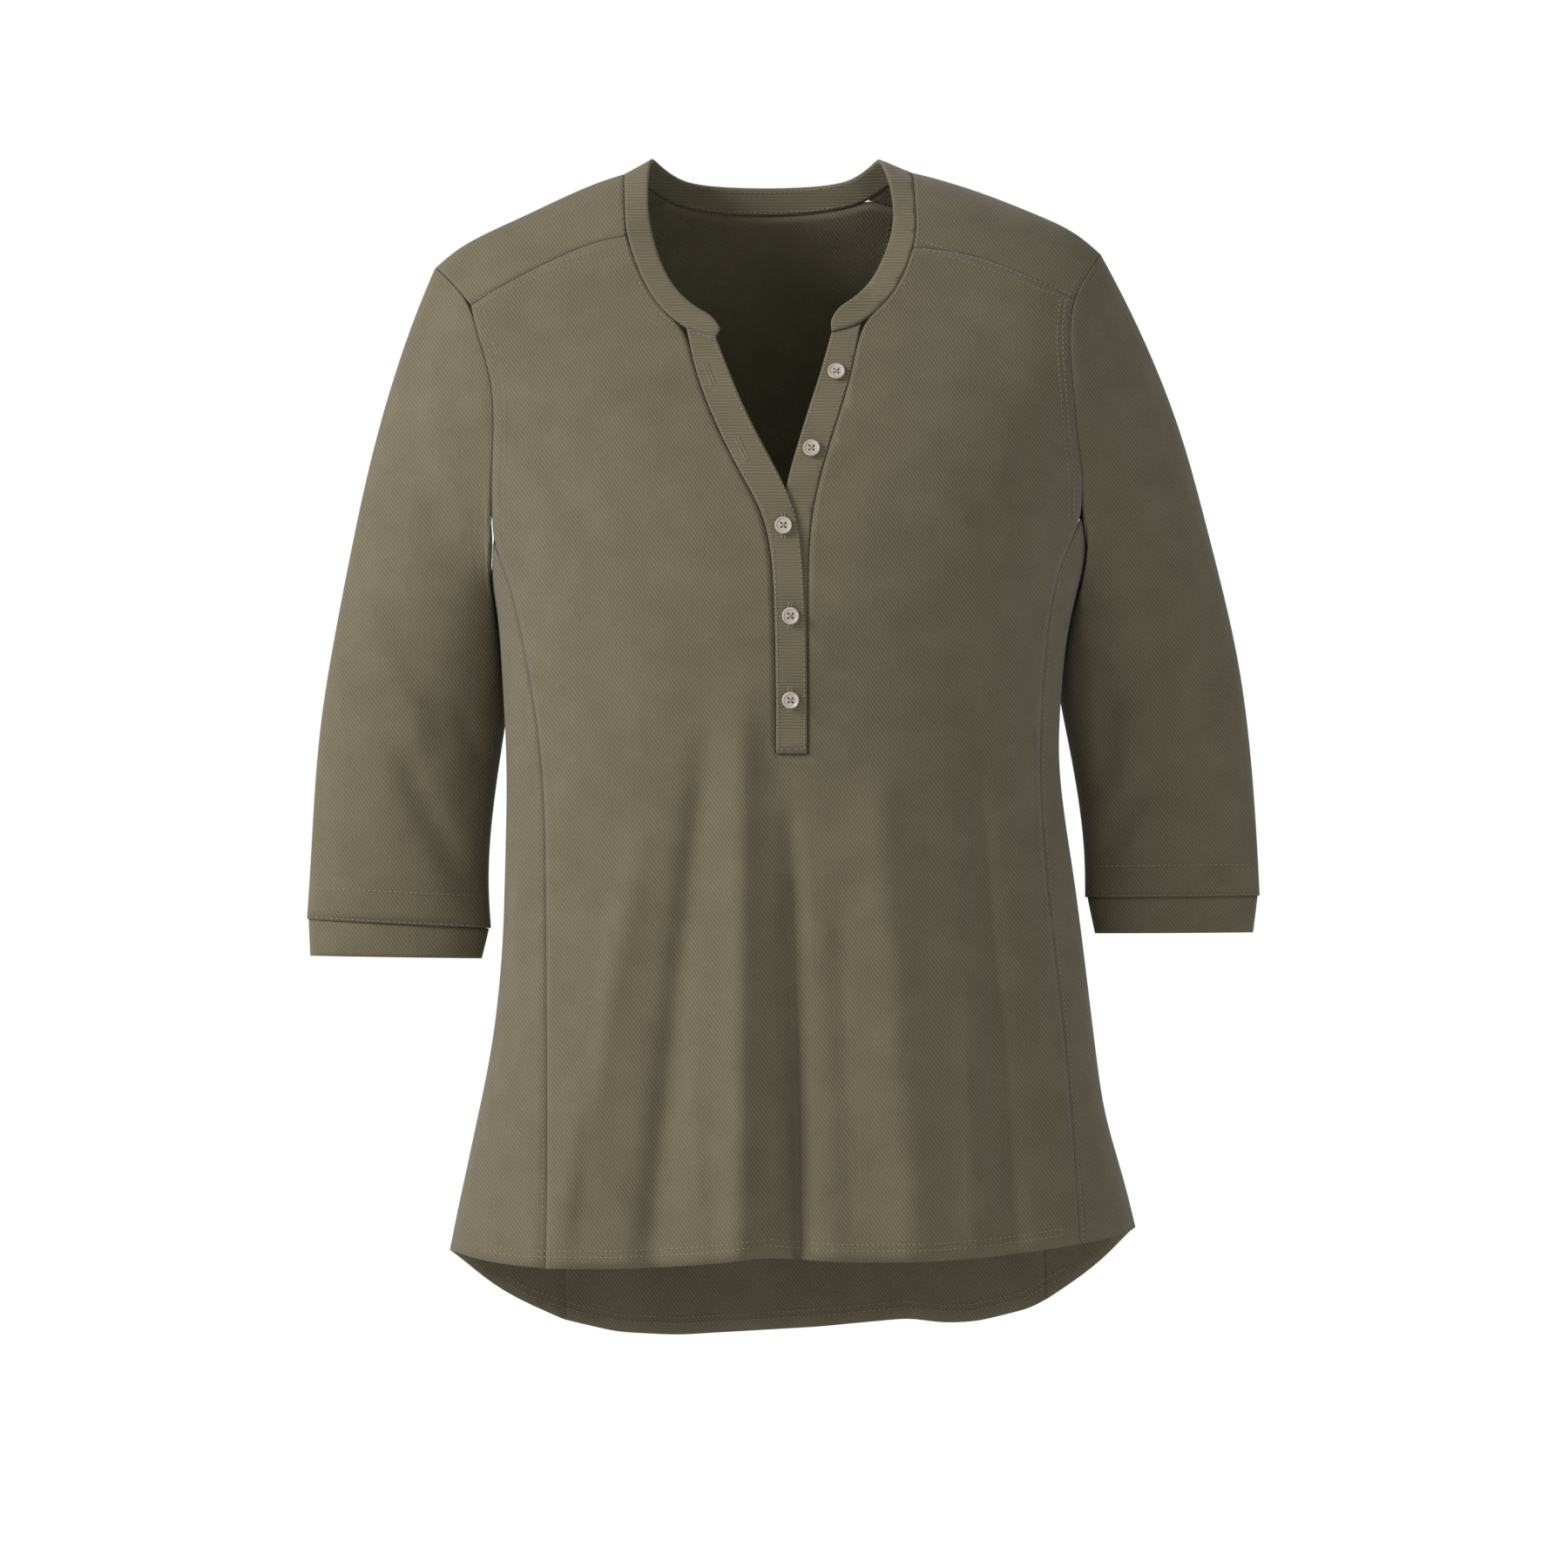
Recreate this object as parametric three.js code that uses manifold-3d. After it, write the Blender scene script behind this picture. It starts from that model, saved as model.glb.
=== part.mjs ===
// A women's henley tunic with three-quarter sleeves, filled out as when it is worn.
// Sizes are millimetres: x runs to the right seen from the front, y to the back and z up.
// The origin lies between the two neck points, where the shoulders carry the shirt.

import * as THREE from "three";
import { mergeVertices } from "three/addons/utils/BufferGeometryUtils.js";
import Module from "manifold-3d";

// Thickness of the walls
const CLOTH = 1.4;
const BAND = 2.0;
const STRIP = 1.5;

// Space between two pieces along a seam, and between a sleeve and the body beside it
const SEAM_GAP = 0.36;
const SLEEVE_OFF_SEAM = 1.9;
const SLEEVE_OFF_BODY = 2.7;

// Body form: exponent of the rounded section, and the depth over which the shoulders round off
const SECTION_ROUND = 2.3;
const SHOULDER_ROUND = 72;
const UNDERARM_DROP = 27;
const YOKE_BOW = 0.3;

// Numbers of stations; pieces that meet share the stations of their seam
const HALF_COLUMNS = 10;
const NECK_ROWS = 3;
const PLACKET_ROWS = 11;
const SKIRT_ROWS = 12;
const ARMHOLE_ROWS = 9;
const BACK_ARMHOLE_ROWS = 7;
const PRINCESS_ROWS = NECK_ROWS + PLACKET_ROWS + SKIRT_ROWS - ARMHOLE_ROWS;
const YOKE_ROWS = 8;
const BACK_NECK_COLUMNS = 8;
const SIDE_COLUMNS = 6;
const TIP_COLUMNS = 3;
const SLEEVE_RINGS = 13;

// Buttons
const BUTTON_RADIUS = 5.1;
const BUTTON_THICKNESS = 2.2;
const BUTTON_RIM = 0.9;
const BUTTON_DISH = 0.5;
const BUTTON_HOLE_RADIUS = 0.7;
const BUTTON_HOLE_SPREAD = 1.25;
const BUTTON_SEAT = 0.45;
const STRIP_OVERLAP_RISE = 0.95;

// Body sections: the sides as seen from the front, and the depths before and behind the shoulders
const BODY_SECTIONS = [
  { z: 30, left: -230, right: 230, front: 46, back: 58 },
  { z: 0, left: -228, right: 226, front: 52, back: 66 },
  { z: -48, left: -222, right: 222, front: 62, back: 82 },
  { z: -80, left: -213, right: 217, front: 76, back: 93 },
  { z: -110, left: -203, right: 212, front: 93, back: 101 },
  { z: -143, left: -191, right: 206, front: 108, back: 105 },
  { z: -180, left: -181, right: 200, front: 118, back: 106 },
  { z: -213, left: -172, right: 193, front: 123, back: 105 },
  { z: -236, left: -165, right: 186, front: 124, back: 103 },
  { z: -254, left: -161, right: 180, front: 123, back: 101 },
  { z: -283, left: -159, right: 176, front: 119, back: 97 },
  { z: -338, left: -156.5, right: 173, front: 110, back: 93 },
  { z: -369, left: -156.5, right: 176, front: 106, back: 95 },
  { z: -411, left: -157.6, right: 182.5, front: 104, back: 100 },
  { z: -452, left: -159, right: 188, front: 103, back: 106 },
  { z: -494, left: -163, right: 193, front: 103, back: 110 },
  { z: -525, left: -168, right: 197, front: 104, back: 112 },
  { z: -556, left: -175, right: 202, front: 105, back: 113 },
  { z: -588, left: -182, right: 212, front: 106, back: 113 },
  { z: -619, left: -189, right: 220, front: 108, back: 112 },
  { z: -645, left: -194, right: 223, front: 109, back: 111 },
  { z: -700, left: -199, right: 222, front: 109, back: 109 },
];

// Top of the shoulders; between the neck points it is the line that the neck opening cuts away
const SHOULDER_LINE = [
  { x: -212, z: -62 },
  { x: -198.6, z: -48 },
  { x: -185, z: -36 },
  { x: -166, z: -26 },
  { x: -144, z: -16 },
  { x: -121, z: -5 },
  { x: -97, z: 5 },
  { x: -86, z: 8.8 },
  { x: -60, z: 14 },
  { x: -30, z: 22 },
  { x: 0, z: 26 },
  { x: 30, z: 23 },
  { x: 60, z: 15 },
  { x: 85, z: 10 },
  { x: 103.5, z: 5 },
  { x: 134, z: -5 },
  { x: 161, z: -16 },
  { x: 182.5, z: -26 },
  { x: 198, z: -39.5 },
  { x: 212, z: -55 },
];

// Neck seam and the upper edge of the band, from the left front end round the back to the right end
const NECK = [
  { side: -1, x: -30.8, z: -92, topX: -28.2, topZ: -87, lean: 3 },
  { side: -1, x: -39.5, z: -89.8, topX: -33.5, topZ: -78.5, lean: 5 },
  { side: -1, x: -48.4, z: -86.5, topX: -41.5, topZ: -75, lean: 6 },
  { side: -1, x: -57.5, z: -81, topX: -50, topZ: -69, lean: 7 },
  { side: -1, x: -65.8, z: -73.5, topX: -57, topZ: -61, lean: 7 },
  { side: -1, x: -73, z: -62, topX: -62.5, topZ: -51, lean: 7 },
  { side: -1, x: -80, z: -46, topX: -67.2, topZ: -38, lean: 6 },
  { side: -1, x: -84.2, z: -31, topX: -70, topZ: -25, lean: 5 },
  { side: -1, x: -85.3, z: -11, topX: -71.6, topZ: -4, lean: 3 },
  { side: 0, x: -85.8, z: 8.8, topX: -70.3, topZ: 16.5, lean: 0 },
  { side: 1, x: -80, z: 5.5, topX: -66.5, topZ: 15.5, lean: -3 },
  { side: 1, x: -70, z: 0, topX: -59, topZ: 9.5, lean: -6 },
  { side: 1, x: -60, z: -6.6, topX: -50.5, topZ: 5.2, lean: -6 },
  { side: 1, x: -47, z: -11, topX: -41, topZ: 3.4, lean: -5 },
  { side: 1, x: -27, z: -14, topX: -24, topZ: 2.2, lean: -4 },
  { side: 1, x: 0, z: -14.6, topX: 0, topZ: 1.8, lean: -4 },
  { side: 1, x: 27, z: -13.2, topX: 24, topZ: 2.4, lean: -4 },
  { side: 1, x: 47, z: -10, topX: 41, topZ: 4, lean: -5 },
  { side: 1, x: 60, z: -5.6, topX: 50, topZ: 6.4, lean: -6 },
  { side: 1, x: 70, z: 1, topX: 58, topZ: 11, lean: -6 },
  { side: 1, x: 79.5, z: 7, topX: 63.5, topZ: 15.5, lean: -3 },
  { side: 0, x: 85.3, z: 10, topX: 67, topZ: 16.8, lean: 0 },
  { side: -1, x: 86.6, z: -6, topX: 72.8, topZ: 0, lean: 3 },
  { side: -1, x: 88, z: -24, topX: 74.3, topZ: -18, lean: 5 },
  { side: -1, x: 86, z: -38, topX: 73, topZ: -31, lean: 6 },
  { side: -1, x: 81.5, z: -52, topX: 69, topZ: -43, lean: 7 },
  { side: -1, x: 75, z: -64, topX: 64, topZ: -54, lean: 7 },
  { side: -1, x: 66.5, z: -75, topX: 57.5, topZ: -63, lean: 7 },
  { side: -1, x: 55, z: -83, topX: 49, topZ: -69.5, lean: 6 },
  { side: -1, x: 46, z: -86.4, topX: 42, topZ: -73.5, lean: 5 },
  { side: -1, x: 37.4, z: -88.4, topX: 36.8, topZ: -81.5, lean: 3 },
];

// Places in the neck table, by row: placket seam, yoke seam in front and yoke seam behind
const NECK_PLACES = {
  left: { tip: 0, placket: 2, yokeFront: 7, yokeBack: 12 },
  right: { tip: 30, placket: 28, yokeFront: 24, yokeBack: 18 },
};

// Armholes: the shoulder tip and the ends of the yoke seams, then the edges of front and back
const ARMHOLES = {
  left: {
    tip: { x: -198.6, z: -48 },
    yokeFront: { x: -176.5, z: -72 },
    yokeBack: { x: -186, z: -80 },
    frontEdge: [
      { x: -176.5, z: -72 },
      { x: -172, z: -91 },
      { x: -166, z: -108 },
      { x: -163, z: -126 },
      { x: -162.4, z: -146 },
      { x: -163.6, z: -179 },
      { x: -163, z: -213 },
    ],
    backEdge: [
      { x: -186, z: -80 },
      { x: -178, z: -110 },
      { x: -172, z: -145 },
      { x: -168, z: -180 },
      { x: -164, z: -207 },
    ],
  },
  right: {
    tip: { x: 198, z: -39.5 },
    yokeFront: { x: 181, z: -68 },
    yokeBack: { x: 190, z: -74 },
    frontEdge: [
      { x: 181, z: -68 },
      { x: 179.2, z: -84 },
      { x: 179, z: -100 },
      { x: 181, z: -126 },
      { x: 182.5, z: -149 },
      { x: 185.8, z: -172 },
      { x: 185.5, z: -199 },
    ],
    backEdge: [
      { x: 190, z: -74 },
      { x: 186, z: -105 },
      { x: 185, z: -140 },
      { x: 186, z: -172 },
      { x: 185, z: -197 },
    ],
  },
};

// Princess seams of front and back, from the armhole to the hem
const PRINCESS = {
  left: {
    front: [
      { x: -163, z: -213 },
      { x: -156, z: -224.5 },
      { x: -149.5, z: -250 },
      { x: -143, z: -281 },
      { x: -135, z: -332 },
      { x: -132, z: -381 },
      { x: -131.4, z: -438 },
      { x: -131, z: -501 },
      { x: -130.5, z: -575 },
      { x: -131.3, z: -641 },
    ],
    back: [
      { x: -164, z: -207 },
      { x: -152, z: -240 },
      { x: -140, z: -290 },
      { x: -132, z: -340 },
      { x: -128, z: -400 },
      { x: -126, z: -500 },
      { x: -124, z: -600 },
      { x: -123, z: -679 },
    ],
  },
  right: {
    front: [
      { x: 185.5, z: -199 },
      { x: 177.5, z: -215 },
      { x: 171, z: -229.5 },
      { x: 166, z: -256 },
      { x: 162, z: -305 },
      { x: 160.8, z: -350 },
      { x: 163, z: -394 },
      { x: 168.5, z: -448 },
      { x: 174.7, z: -501 },
      { x: 180, z: -560 },
      { x: 184.5, z: -629 },
    ],
    back: [
      { x: 185, z: -197 },
      { x: 172, z: -235 },
      { x: 161, z: -285 },
      { x: 155, z: -340 },
      { x: 156, z: -400 },
      { x: 161, z: -500 },
      { x: 166, z: -600 },
      { x: 168, z: -668 },
    ],
  },
};

// Seams between the front and the two placket strips, and the free edges of the strips
const PLACKETS = {
  left: {
    seam: [
      { x: -48.4, z: -86.5 },
      { x: -43, z: -113 },
      { x: -36, z: -132 },
      { x: -25.6, z: -155 },
      { x: -15, z: -175.5 },
      { x: -3, z: -196 },
      { x: 1, z: -212 },
      { x: 2.8, z: -232 },
      { x: 3.8, z: -262 },
      { x: 4.5, z: -300 },
      { x: 4.5, z: -338 },
    ],
    free: [
      { x: -30.8, z: -92 },
      { x: -25.6, z: -105 },
      { x: -18.7, z: -124 },
      { x: -8.4, z: -146 },
      { x: 2, z: -165 },
      { x: 10.6, z: -181 },
      { x: 16.6, z: -196 },
      { x: 19.4, z: -212 },
      { x: 21, z: -232 },
      { x: 22.3, z: -262 },
      { x: 23, z: -300 },
      { x: 23, z: -338 },
    ],
  },
  right: {
    seam: [
      { x: 55, z: -83 },
      { x: 48.5, z: -117 },
      { x: 38, z: -150 },
      { x: 30.5, z: -175.5 },
      { x: 25.5, z: -198 },
      { x: 24, z: -218 },
      { x: 23.6, z: -262 },
      { x: 23.6, z: -300 },
      { x: 23.6, z: -338 },
    ],
    free: [
      { x: 37.4, z: -88.4 },
      { x: 34, z: -103 },
      { x: 26, z: -127 },
      { x: 17.5, z: -155 },
      { x: 11.4, z: -175 },
      { x: 7.4, z: -198 },
      { x: 6, z: -218 },
      { x: 6, z: -262 },
      { x: 6, z: -300 },
      { x: 6, z: -338 },
    ],
  },
};

// Hems of front and back by their place across
const FRONT_HEM = [
  { x: -200, z: -631 },
  { x: -193, z: -633 },
  { x: -176, z: -639 },
  { x: -148, z: -642.6 },
  { x: -92, z: -642.6 },
  { x: -64, z: -641.7 },
  { x: -30, z: -639 },
  { x: 0, z: -635 },
  { x: 19, z: -637 },
  { x: 46, z: -638.6 },
  { x: 102, z: -638 },
  { x: 139, z: -635 },
  { x: 176, z: -630 },
  { x: 204, z: -626 },
  { x: 219, z: -622 },
  { x: 226, z: -618 },
];
const BACK_HEM = [
  { x: -200, z: -630 },
  { x: -190, z: -637 },
  { x: -176, z: -650 },
  { x: -163, z: -661 },
  { x: -148, z: -670 },
  { x: -120, z: -680 },
  { x: -92, z: -686.5 },
  { x: -55, z: -689 },
  { x: -18, z: -687 },
  { x: 28, z: -684 },
  { x: 84, z: -679 },
  { x: 106, z: -681.5 },
  { x: 124, z: -680.7 },
  { x: 158, z: -672 },
  { x: 185, z: -656 },
  { x: 206, z: -638 },
  { x: 219, z: -622 },
  { x: 226, z: -617 },
];

// Largest folds of the body: where each starts and ends, its half width, and how far it stands out
const FOLDS = [
  { side: -1, topX: -14, topZ: -250, lowX: -17, lowZ: -560, reach: 15, out: 8 },
  { side: -1, topX: 10, topZ: -330, lowX: 17, lowZ: -540, reach: 9, out: -7 },
  { side: -1, topX: -36, topZ: -320, lowX: -66, lowZ: -590, reach: 13, out: -6 },
  { side: -1, topX: -76, topZ: -380, lowX: -120, lowZ: -600, reach: 15, out: 5 },
  { side: -1, topX: 112, topZ: -235, lowX: 143, lowZ: -560, reach: 11, out: -5 },
  { side: -1, topX: 62, topZ: -260, lowX: 90, lowZ: -560, reach: 24, out: 4 },
  { side: 1, topX: 4, topZ: -180, lowX: -30, lowZ: -560, reach: 18, out: 6 },
  { side: 1, topX: -52, topZ: -230, lowX: -82, lowZ: -580, reach: 15, out: -6 },
  { side: 1, topX: 40, topZ: -260, lowX: 32, lowZ: -600, reach: 14, out: -7 },
  { side: 1, topX: 66, topZ: -220, lowX: 87, lowZ: -600, reach: 16, out: 6 },
  { side: 1, topX: 112, topZ: -250, lowX: 139, lowZ: -600, reach: 13, out: -5 },
];

// Sleeve sections below the armhole: outer and inner edge as seen from the front, middle and depth
const SLEEVES = {
  left: [
    { outerX: -208.5, outerZ: -68, innerX: -166, innerZ: -241, middle: 3, depth: 124 },
    { outerX: -219, outerZ: -96, innerX: -163, innerZ: -247, middle: 8, depth: 116 },
    { outerX: -231, outerZ: -138, innerX: -158, innerZ: -257, middle: 16, depth: 106 },
    { outerX: -242, outerZ: -182, innerX: -155, innerZ: -271, middle: 23, depth: 98 },
    { outerX: -252, outerZ: -230, innerX: -154, innerZ: -288, middle: 29, depth: 91 },
    { outerX: -261, outerZ: -277, innerX: -156, innerZ: -309, middle: 34, depth: 85 },
    { outerX: -267.5, outerZ: -317, innerX: -160, innerZ: -334, middle: 36, depth: 79 },
    { outerX: -271.4, outerZ: -359, innerX: -165, innerZ: -369, middle: 37, depth: 71 },
    { outerX: -273.5, outerZ: -400, innerX: -168.5, innerZ: -408, middle: 37, depth: 60 },
    { outerX: -276, outerZ: -437, innerX: -166.4, innerZ: -442.5, middle: 37, depth: 50 },
  ],
  right: [
    { outerX: 210, outerZ: -60, innerX: 187, innerZ: -233, middle: 3, depth: 124 },
    { outerX: 226, outerZ: -92, innerX: 184, innerZ: -240, middle: 8, depth: 116 },
    { outerX: 243, outerZ: -136, innerX: 179, innerZ: -250, middle: 16, depth: 106 },
    { outerX: 255.5, outerZ: -178, innerX: 175, innerZ: -262, middle: 23, depth: 98 },
    { outerX: 267, outerZ: -222, innerX: 172.5, innerZ: -277, middle: 29, depth: 91 },
    { outerX: 277.5, outerZ: -264, innerX: 173, innerZ: -295, middle: 34, depth: 85 },
    { outerX: 284.5, outerZ: -303, innerX: 177.5, innerZ: -319, middle: 36, depth: 79 },
    { outerX: 289, outerZ: -343, innerX: 184, innerZ: -352, middle: 37, depth: 71 },
    { outerX: 292, outerZ: -384, innerX: 189.5, innerZ: -390, middle: 37, depth: 60 },
    { outerX: 294, outerZ: -423, innerX: 190, innerZ: -424, middle: 37, depth: 50 },
  ],
};
const CUFFS = {
  left: [
    { outerX: -275, outerZ: -437.6, innerX: -167.6, innerZ: -443, middle: 37, depth: 48 },
    { outerX: -274, outerZ: -459, innerX: -172, innerZ: -460.5, middle: 37, depth: 44 },
  ],
  right: [
    { outerX: 292.8, outerZ: -423.6, innerX: 191.4, innerZ: -424.6, middle: 37, depth: 48 },
    { outerX: 290, outerZ: -445, innerX: 196, innerZ: -445.5, middle: 37, depth: 44 },
  ],
};

// Button places; the upper two sit on the under strip, the lower three on the top strip
const BUTTONS = [
  { name: "button_1", x: 40.2, z: -112.7, strip: "under" },
  { name: "button_2", x: 25.5, z: -158.2, strip: "under" },
  { name: "button_3", x: 9, z: -204, strip: "top" },
  { name: "button_4", x: 13.2, z: -256.7, strip: "top" },
  { name: "button_5", x: 13.2, z: -306, strip: "top" },
];

const clothMaterial = new THREE.MeshStandardMaterial({ color: 0x585440, roughness: 0.9, metalness: 0 });
const buttonMaterial = new THREE.MeshStandardMaterial({ color: 0x958c80, roughness: 0.4, metalness: 0 });

const mix = THREE.MathUtils.lerp;
const clamp = THREE.MathUtils.clamp;

// Smooth value of one column of a table at a place between its rows, by row number
function columnAt(rows, column, place) {
  const last = rows.length - 1;
  const low = clamp(Math.floor(place), 0, last - 1);
  const before = rows[Math.max(low - 1, 0)][column];
  const start = rows[low][column];
  const end = rows[low + 1][column];
  const after = rows[Math.min(low + 2, last)][column];
  const step = clamp(place - low, 0, 1);
  const startSlope = (end - before) / (low > 0 ? 2 : 1);
  const endSlope = (after - start) / (low + 2 <= last ? 2 : 1);
  const rise = end - start;
  const bend = startSlope + endSlope - 2 * rise;
  return start + step * (startSlope + step * (3 * rise - 2 * startSlope - endSlope + step * bend));
}

// Straight value of one column of a table at a value of its key column
function valueAt(rows, key, column, value) {
  const down = rows[0][key] > rows[rows.length - 1][key];
  const after = rows.findIndex((row) => (down ? row[key] <= value : row[key] >= value));
  if (after === 0) return rows[0][column];
  if (after < 0) return rows[rows.length - 1][column];
  const low = rows[after - 1];
  const high = rows[after];
  return mix(low[column], high[column], (value - low[key]) / (high[key] - low[key]));
}

// Smooth value of one column at a value of its key column
function smoothAt(rows, key, column, value) {
  const down = rows[0][key] > rows[rows.length - 1][key];
  const after = rows.findIndex((row) => (down ? row[key] <= value : row[key] >= value));
  if (after === 0) return rows[0][column];
  if (after < 0) return rows[rows.length - 1][column];
  const low = rows[after - 1];
  const high = rows[after];
  return columnAt(rows, column, after - 1 + (value - low[key]) / (high[key] - low[key]));
}

function bodySection(z) {
  const left = smoothAt(BODY_SECTIONS, "z", "left", z);
  const right = smoothAt(BODY_SECTIONS, "z", "right", z);
  return {
    centre: (left + right) / 2,
    half: (right - left) / 2,
    front: smoothAt(BODY_SECTIONS, "z", "front", z),
    back: smoothAt(BODY_SECTIONS, "z", "back", z),
  };
}

function shoulderHeight(x) {
  return smoothAt(SHOULDER_LINE, "x", "z", x);
}

// How far the folds stand out of the body at one place
function foldHeight(x, z, side) {
  let height = 0;
  for (const fold of FOLDS) {
    if (fold.side !== side) continue;
    const along = clamp((fold.topZ - z) / (fold.topZ - fold.lowZ), 0, 1);
    const across = (x - mix(fold.topX, fold.lowX, along)) / fold.reach;
    height += fold.out * THREE.MathUtils.smoothstep(along, 0, 1) * Math.exp(-across * across);
  }
  return height;
}

// Point of the body's middle surface at a turn round the section and a height.
// Turn 0 is the right side, a negative turn the front and a positive one the back.
function bodyPoint(turn, z) {
  const section = bodySection(z);
  const cosine = Math.cos(turn);
  const sine = Math.sin(turn);
  const side = sine < 0 ? -1 : 1;
  const across = Math.sign(cosine) * Math.abs(cosine) ** (2 / SECTION_ROUND);
  const x = section.centre + section.half * across;
  const fall = clamp((shoulderHeight(x) - z) / SHOULDER_ROUND, 0, 1);
  const roundOff = Math.sqrt(1 - (1 - fall) ** 2);
  const depth = (side < 0 ? section.front : section.back) * Math.abs(sine) ** (2 / SECTION_ROUND);
  const fold = foldHeight(x, z, side) * (1 - Math.abs(across) ** 6);
  return new THREE.Vector3(x, side * (depth * roundOff + fold), z);
}

function turnAt(x, z, side) {
  const section = bodySection(z);
  const across = clamp((x - section.centre) / section.half, -1, 1);
  return side * Math.acos(Math.sign(across) * Math.abs(across) ** (SECTION_ROUND / 2));
}

// Signed root of the fall below the shoulder line: it runs smoothly from front to back over the ridge
function fallRoot(x, z, side) {
  return side * Math.sqrt(Math.max(shoulderHeight(x) - z, 0));
}

// Point of the body given by its place across and the root of its fall
function shoulderPoint(x, root) {
  const z = shoulderHeight(x) - root * root;
  return bodyPoint(turnAt(x, z, root < 0 ? -1 : 1), z);
}

function bodyAt({ x, z, side }) {
  return bodyPoint(turnAt(x, z, side), z);
}

// Outward direction of the body at a place given like the ones above
function bodyNormal(x, root) {
  const step = 0.4;
  const across = shoulderPoint(x + step, root).sub(shoulderPoint(x - step, root));
  const over = shoulderPoint(x, root + step / 4).sub(shoulderPoint(x, root - step / 4));
  return across.cross(over).normalize();
}

// Outward direction given by a turn and a height, for the sides of the body
function sideNormal(turn, z) {
  const round = bodyPoint(turn + 0.01, z).sub(bodyPoint(turn - 0.01, z));
  const up = bodyPoint(turn, z + 0.5).sub(bodyPoint(turn, z - 0.5));
  return round.cross(up).normalize();
}

// Evenly spaced places on a smooth line through the rows of a table of x and z
function edge(rows, count, side) {
  const line = new THREE.SplineCurve(rows.map((row) => new THREE.Vector2(row.x, row.z)));
  return line.getSpacedPoints(count).map((place) => ({ x: place.x, z: place.y, side }));
}

// Place on the neck seam at a row number of its table
function neckPlace(place) {
  const x = columnAt(NECK, "x", place);
  const root = columnAt(NECK_ROOTS, "root", place);
  return { x, z: shoulderHeight(x) - root * root, side: root < 0 ? -1 : 1, root };
}
const NECK_ROOTS = NECK.map((row) => ({ root: fallRoot(row.x, row.z, row.side) }));

function places(from, to, count) {
  return Array.from({ length: count + 1 }, (_, index) => mix(from, to, index / count));
}

// Rows of places that fill the four edges of a panel
function fillPanel(top, bottom, first, last) {
  return first.map((start, row) => {
    const down = row / (first.length - 1);
    return top.map((above, column) => {
      const over = column / (top.length - 1);
      const place = { side: above.side };
      for (const axis of ["x", "z"]) {
        const corners =
          (1 - over) * ((1 - down) * top[0][axis] + down * bottom[0][axis]) +
          over * ((1 - down) * top.at(-1)[axis] + down * bottom.at(-1)[axis]);
        const upDown = (1 - down) * above[axis] + down * bottom[column][axis];
        const sideways = (1 - over) * start[axis] + over * last[row][axis];
        place[axis] = upDown + sideways - corners;
      }
      return place;
    });
  });
}

// Closed wall of even thickness about one or more grids of points. Columns run left to right and rows
// top to bottom, as seen from outside. Edges draw back by half a seam gap. rise moves the wall outwards.
// normals may hold the direction for single points, which two pieces share at their seam.
function wall(grids, thickness, { rise = 0, normals = new Map() } = {}) {
  const points = [];
  const directions = [];
  const known = new Map();
  const faces = [];
  const numberOf = (point) => {
    const key = point.toArray().map((value) => Math.round(value * 1000)).join();
    if (!known.has(key)) {
      known.set(key, points.length);
      points.push(point.clone());
      directions.push(normals.get(point));
    }
    return known.get(key);
  };
  for (const grid of grids) {
    const numbers = grid.map((row) => row.map(numberOf));
    for (let row = 0; row + 1 < numbers.length; row++) {
      for (let column = 0; column + 1 < numbers[row].length; column++) {
        const [a, b] = [numbers[row][column], numbers[row + 1][column]];
        const [c, d] = [numbers[row + 1][column + 1], numbers[row][column + 1]];
        for (const face of [[a, b, c], [a, c, d]]) {
          if (new Set(face).size === 3) faces.push(face);
        }
      }
    }
  }
  const faceNormals = faces.map(([a, b, c]) =>
    points[b].clone().sub(points[a]).cross(points[c].clone().sub(points[a])),
  );
  const sums = points.map(() => new THREE.Vector3());
  faces.forEach((face, index) => face.forEach((number) => sums[number].add(faceNormals[index])));
  const out = sums.map((sum, number) => directions[number] ?? sum.normalize());

  // An edge that only one face uses is part of the rim
  const used = new Map();
  faces.forEach((face, index) => {
    face.forEach((from, corner) => used.set(from + "," + face[(corner + 1) % 3], index));
  });
  const rim = [];
  const inwards = new Map();
  for (const [key, index] of used) {
    const [from, to] = key.split(",").map(Number);
    if (used.has(to + "," + from)) continue;
    rim.push([from, to]);
    const along = points[to].clone().sub(points[from]);
    const inward = faceNormals[index].clone().cross(along).normalize();
    for (const number of [from, to]) inwards.set(number, [...(inwards.get(number) ?? []), inward]);
  }
  for (const [number, [one, two]] of inwards) {
    const pull = one.clone().add(two).divideScalar(Math.max(1 + one.dot(two), 0.4));
    points[number].addScaledVector(pull, SEAM_GAP / 2);
  }
  const count = points.length;
  const corners = [rise + thickness / 2, rise - thickness / 2].flatMap((height) =>
    points.flatMap((point, number) => point.clone().addScaledVector(out[number], height).toArray()),
  );
  const triangles = faces.flatMap(([a, b, c]) => [a, b, c, c + count, b + count, a + count]);
  for (const [from, to] of rim) {
    triangles.push(to, from, from + count, to, from + count, to + count);
  }
  const geometry = new THREE.BufferGeometry();
  geometry.setAttribute("position", new THREE.Float32BufferAttribute(corners, 3));
  geometry.setIndex(triangles);
  geometry.computeVertexNormals();
  return geometry;
}

const leftToRight = (grid, hand) => (hand === "left" ? grid : grid.map((row) => [...row].reverse()));
const onBody = (grid) => grid.map((row) => row.map(bodyAt));

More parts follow.
